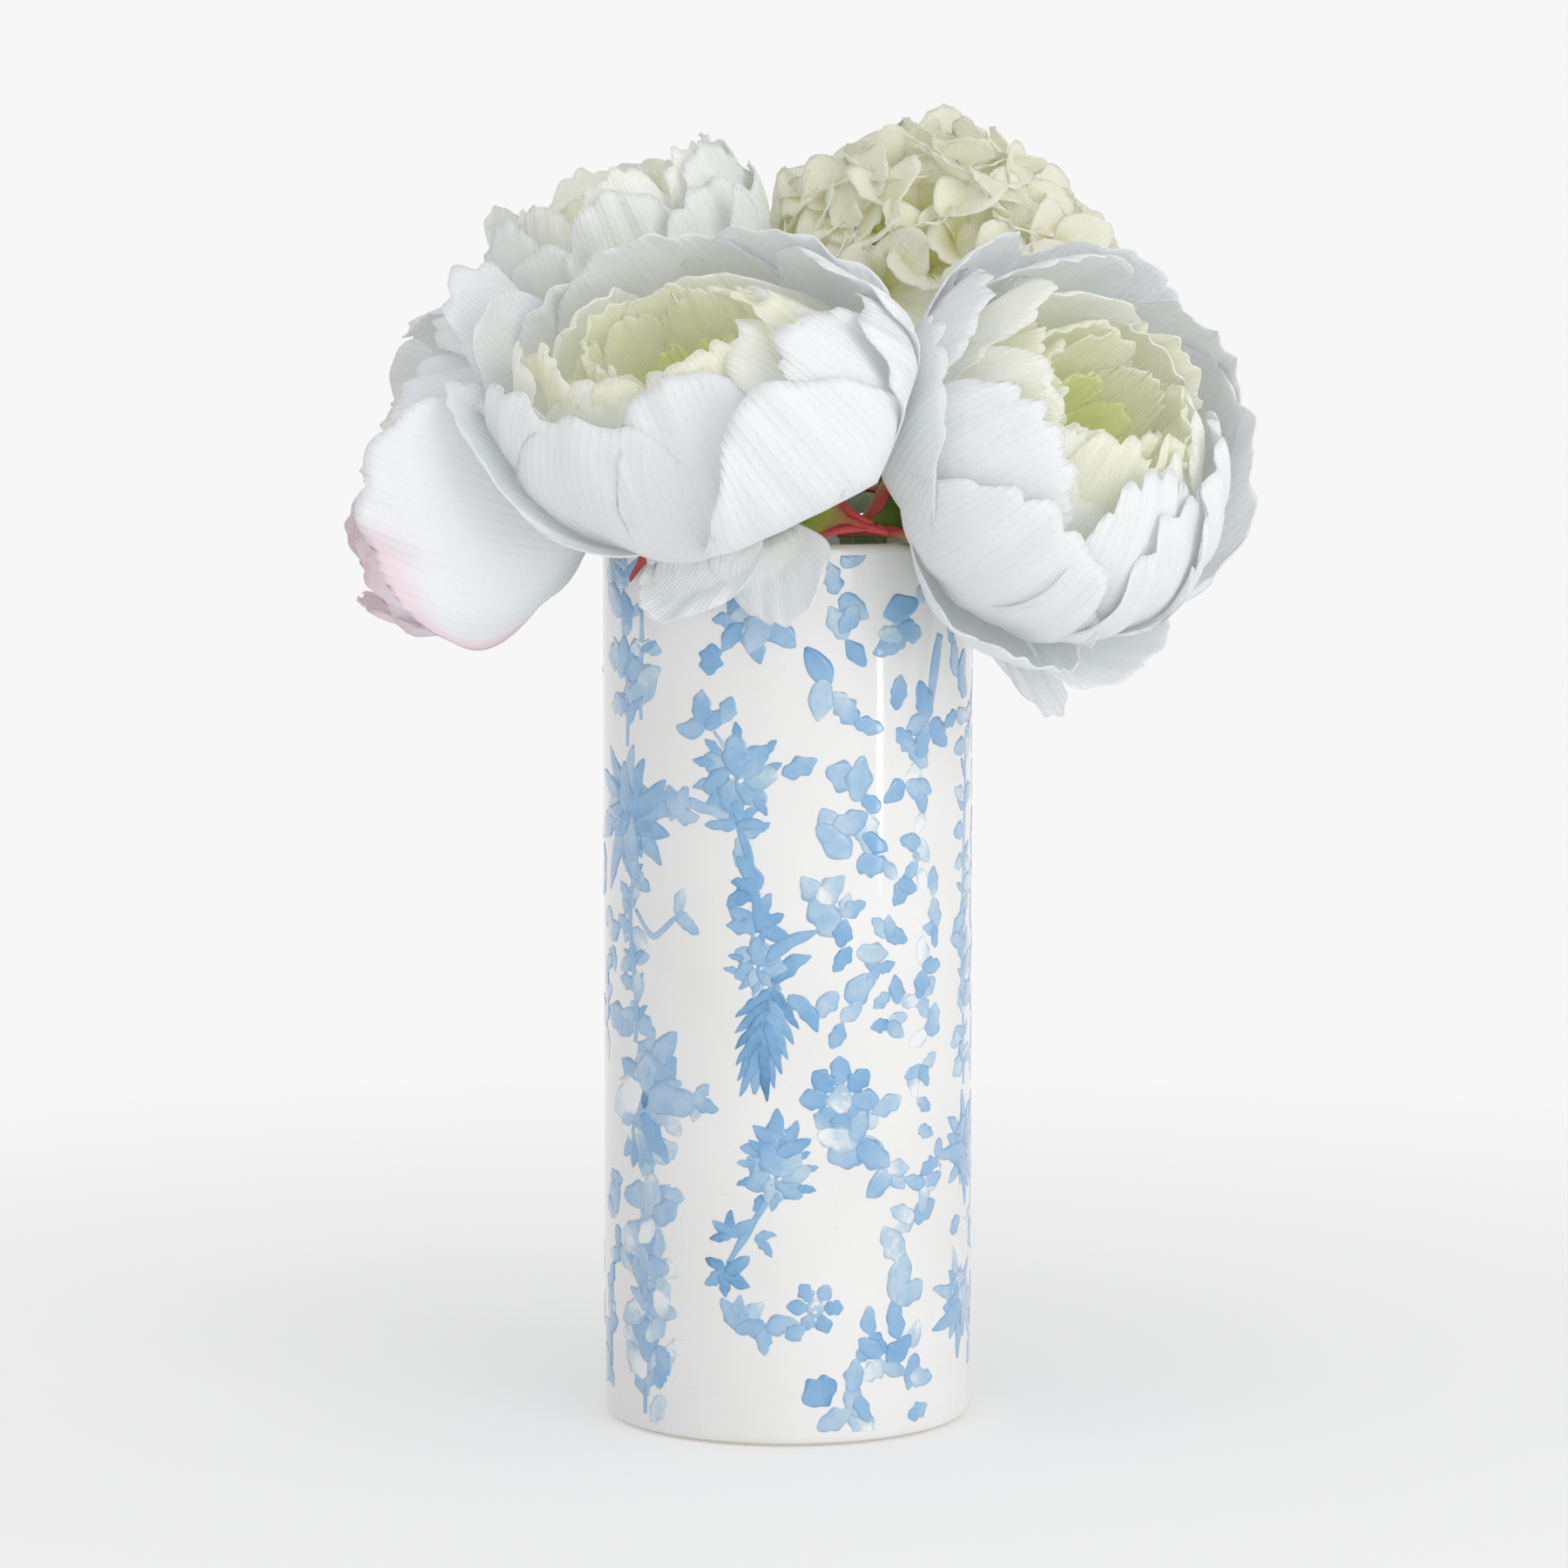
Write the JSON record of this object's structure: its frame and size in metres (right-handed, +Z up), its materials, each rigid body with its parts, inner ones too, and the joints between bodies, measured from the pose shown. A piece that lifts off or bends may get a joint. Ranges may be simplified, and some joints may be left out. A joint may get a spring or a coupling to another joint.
{
  "type": "vase with artificial flowers",
  "caption": "Tall straight porcelain cylinder vase painted with pale blue flowers, holding white artificial peonies and a cream hydrangea on lift-out wire stems.",
  "frame": {"origin": "centre of the foot ring, on the plane the vase stands on", "axes": "+Z up along the vase, -Y towards the front of the arrangement, +X to the right seen from the front"},
  "size_m": [0.2457, 0.2255, 0.362],
  "materials": {
    "porcelain": "gloss white glaze over pale blue hand painting",
    "stem_green": "plastic-sleeved wire",
    "leaf_green": "printed polyester leaf",
    "calyx_green": "moulded plastic, green with red sepal tips",
    "petal_white": "pressed polyester petals, cool white",
    "petal_ivory": "pressed polyester petals, ivory",
    "petal_green_cream": "pressed polyester petals, green at the root",
    "heart_green": "small folded petals, yellow-green",
    "branch_green": "moulded plastic",
    "floret_cream": "pressed polyester florets, warm cream"
  },
  "bodies": {
    "vase": {"vase_body": "porcelain"},
    "peony_front_stem_assembly": {"peony_front_stem": "stem_green", "peony_front_leaf": "leaf_green", "peony_front_calyx": "calyx_green"},
    "peony_front_head": {"peony_front_outer_petals": "petal_white", "peony_front_middle_petals": "petal_ivory", "peony_front_inner_petals": "petal_green_cream", "peony_front_core": "heart_green"},
    "peony_right_stem_assembly": {"peony_right_stem": "stem_green", "peony_right_leaf": "leaf_green", "peony_right_calyx": "calyx_green"},
    "peony_right_head": {"peony_right_outer_petals": "petal_white", "peony_right_middle_petals": "petal_ivory", "peony_right_inner_petals": "petal_green_cream", "peony_right_core": "heart_green"},
    "peony_upper_stem_assembly": {"peony_upper_stem": "stem_green", "peony_upper_leaf": "leaf_green", "peony_upper_calyx": "calyx_green"},
    "peony_upper_head": {"peony_upper_outer_petals": "petal_white", "peony_upper_middle_petals": "petal_ivory", "peony_upper_inner_petals": "petal_green_cream", "peony_upper_core": "heart_green"},
    "peony_left_stem_assembly": {"peony_left_stem": "stem_green", "peony_left_leaf": "leaf_green", "peony_left_calyx": "calyx_green"},
    "peony_left_head": {"peony_left_outer_petals": "petal_white", "peony_left_middle_petals": "petal_ivory", "peony_left_inner_petals": "petal_green_cream", "peony_left_core": "heart_green"},
    "hydrangea_stem_assembly": {"hydrangea_stem": "stem_green", "hydrangea_leaf": "leaf_green"},
    "hydrangea_head": {"hydrangea_branches": "branch_green", "hydrangea_florets": "floret_cream"}
  },
  "joints": [
    {"name": "peony_front_lift", "type": "slide", "parent": "vase", "child": "peony_front_stem_assembly", "axis": [0.0383, -0.3522, 0.9352], "range_m": [0, 0.215]},
    {"name": "peony_front_turn", "type": "hinge", "parent": "peony_front_stem_assembly", "child": "peony_front_head", "pos_m": [-0.00717, -0.04411, 0.26505], "axis": [-0.3301, -0.7202, 0.6102], "range_deg": [-20, 20]},
    {"name": "peony_right_lift", "type": "slide", "parent": "vase", "child": "peony_right_stem_assembly", "axis": [0.344, -0.0844, 0.9352], "range_m": [0, 0.215]},
    {"name": "peony_right_turn", "type": "hinge", "parent": "peony_right_stem_assembly", "child": "peony_right_head", "pos_m": [0.05046, -0.02495, 0.26497], "axis": [0.5507, -0.721, 0.4206], "range_deg": [-20, 20]},
    {"name": "peony_upper_lift", "type": "slide", "parent": "vase", "child": "peony_upper_stem_assembly", "axis": [-0.3373, 0.1082, 0.9352], "range_m": [0, 0.215]},
    {"name": "peony_upper_turn", "type": "hinge", "parent": "peony_upper_stem_assembly", "child": "peony_upper_head", "pos_m": [-0.03244, 0.03703, 0.29812], "axis": [-0.3211, -0.2509, 0.9132], "range_deg": [-20, 20]},
    {"name": "peony_left_lift", "type": "slide", "parent": "vase", "child": "peony_left_stem_assembly", "axis": [-0.2997, -0.1888, 0.9352], "range_m": [0, 0.215]},
    {"name": "peony_left_turn", "type": "hinge", "parent": "peony_left_stem_assembly", "child": "peony_left_head", "pos_m": [-0.05621, 0.0008, 0.26329], "axis": [-0.8974, -0.3365, 0.2855], "range_deg": [-20, 20]},
    {"name": "hydrangea_lift", "type": "slide", "parent": "vase", "child": "hydrangea_stem_assembly", "axis": [0.1372, 0.3266, 0.9352], "range_m": [0, 0.215]},
    {"name": "hydrangea_turn", "type": "hinge", "parent": "hydrangea_stem_assembly", "child": "hydrangea_head", "pos_m": [0.03034, 0.03473, 0.28365], "axis": [0.302, 0.3523, 0.8858], "range_deg": [-20, 20]}
  ]
}
